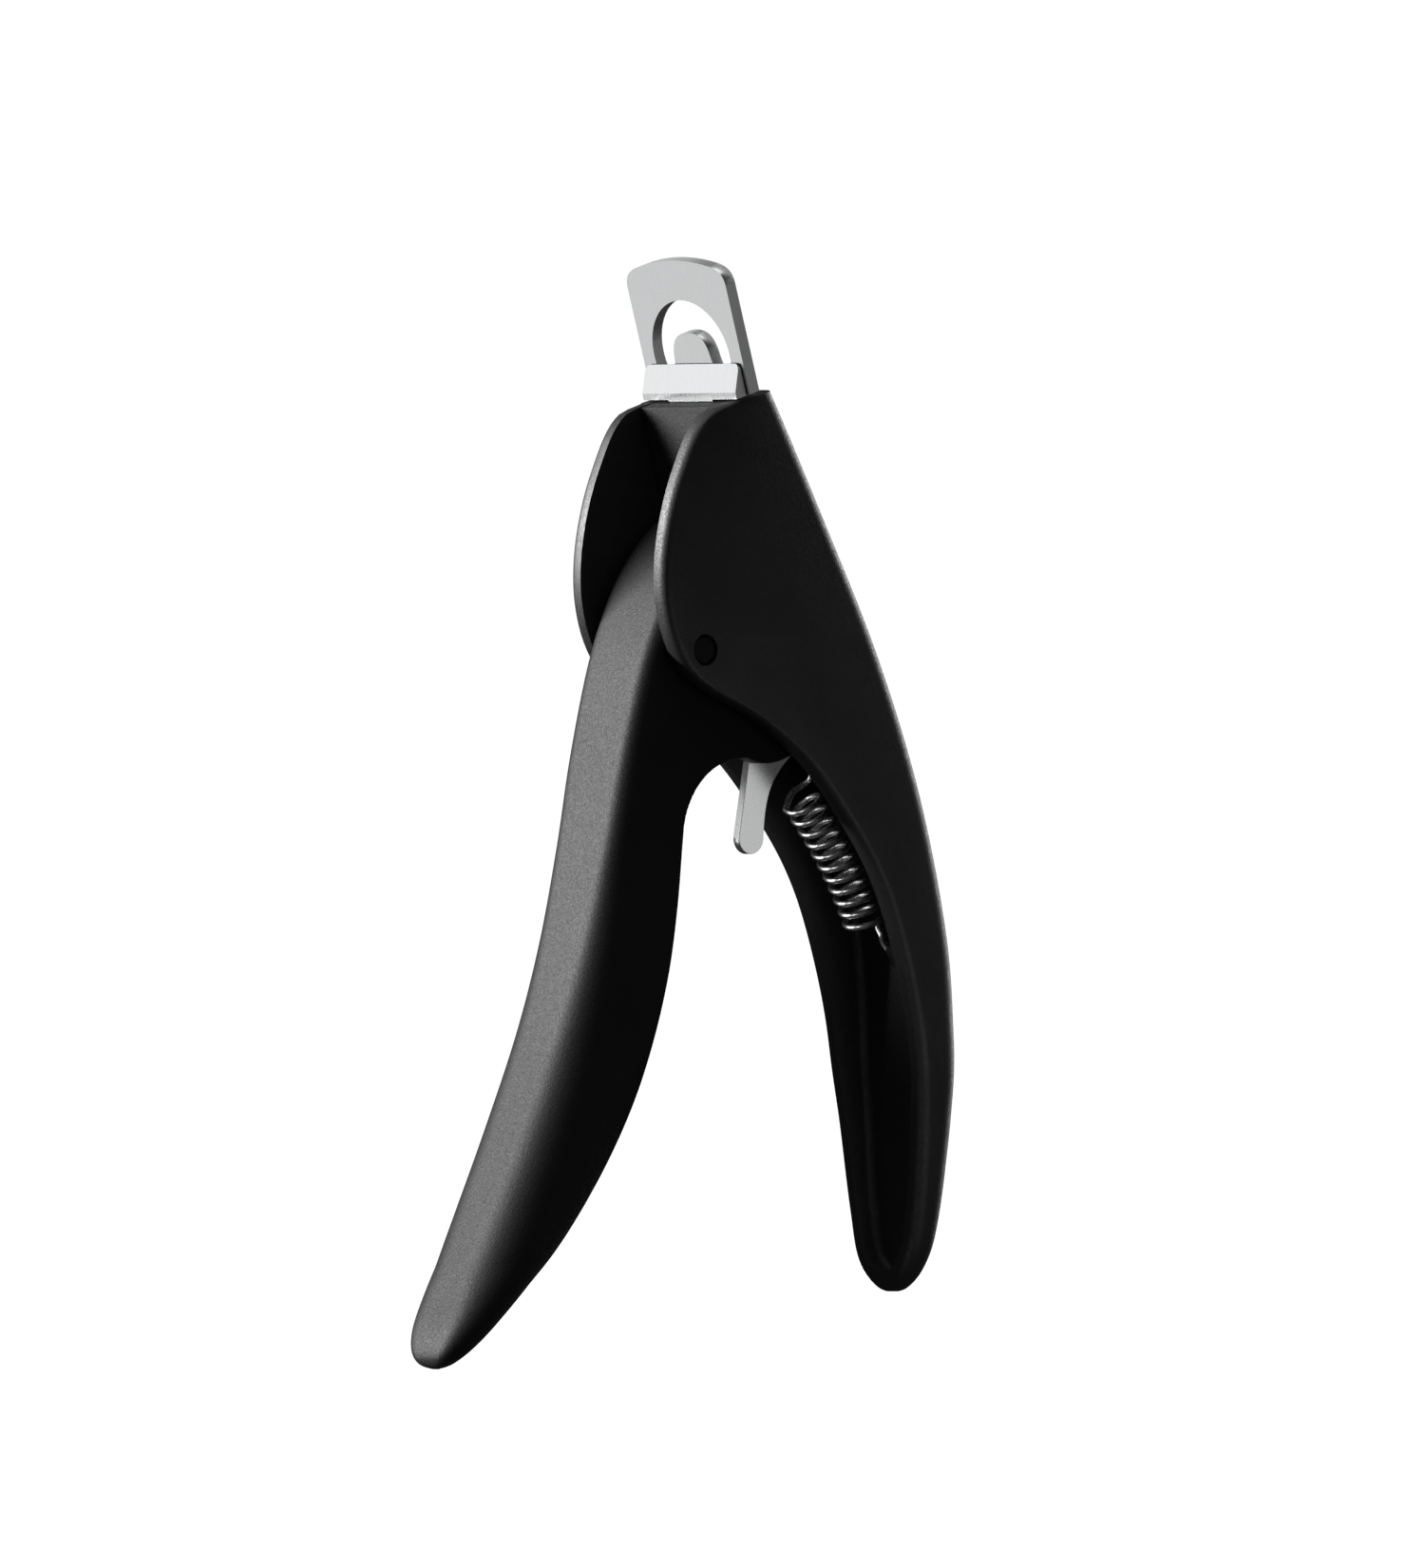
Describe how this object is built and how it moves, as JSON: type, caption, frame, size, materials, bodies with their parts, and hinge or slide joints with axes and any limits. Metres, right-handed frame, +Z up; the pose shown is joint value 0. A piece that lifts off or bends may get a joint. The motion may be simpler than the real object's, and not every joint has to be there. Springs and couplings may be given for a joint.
{
  "type": "pet nail trimmer",
  "caption": "Lever-driven nail trimmer: squeezing the lever against the channelled body slides a straight blade up an arched steel plate; coil return spring and lock latch.",
  "frame": {"origin": "on the ground plane under both handle tips, at the middle of the overall box in X and Y", "axes": "+Z up from the handle tips to the cutting head, +X from the lever towards the body's spine, Y through the thickness along the pivot's axis"},
  "size_m": [0.09, 0.0196, 0.1398],
  "materials": {
    "black_plastic": "fine moulded grain, satin",
    "brushed_steel": "brushed, with a ground cutting bevel",
    "spring_steel": "bright drawn wire",
    "blackened_steel": "black oxide",
    "turned_steel": "turned, plain",
    "bronze": "sintered, oiled"
  },
  "bodies": {
    "body": {"body_shell": "black_plastic", "guide_cover": "black_plastic", "cover_screw_near": "blackened_steel", "cover_screw_far": "blackened_steel", "fixed_plate": "brushed_steel", "plate_screw_lower": "turned_steel", "plate_screw_upper": "turned_steel", "pivot_barrel": "blackened_steel", "pivot_screw": "blackened_steel", "return_spring": "spring_steel"},
    "lever": {"lever_handle": "black_plastic", "pivot_bush": "bronze", "spring_pin": "turned_steel", "latch_pin": "turned_steel", "latch_spacer": "black_plastic"},
    "latch": {"lock_latch": "brushed_steel"},
    "blade": {"moving_blade": "brushed_steel", "blade_carrier": "turned_steel", "blade_rivet_near": "turned_steel", "blade_rivet_far": "turned_steel", "drive_pin": "turned_steel"}
  },
  "joints": [
    {"name": "lever_pivot", "type": "hinge", "parent": "body", "child": "lever", "pos_m": [0.00577, 0, 0.08897], "axis": [0, -1, 0], "range_deg": [0, 27], "stiffness_Nm_per_rad": 0.3, "springref_deg": -20.05, "deforming": ["return_spring"]},
    {"name": "blade_slide", "type": "slide", "parent": "body", "child": "blade", "axis": [-0.1719, 0, 0.9851], "range_m": [0, 0.0092]},
    {"name": "latch_swing", "type": "hinge", "parent": "lever", "child": "latch", "pos_m": [0.02153, 0, 0.07752], "axis": [0, -1, 0], "range_deg": [0, 20]}
  ],
  "couplings": [
    {"joint": "blade_slide", "follows": "lever_pivot", "m_per_rad": 0.01952}
  ]
}
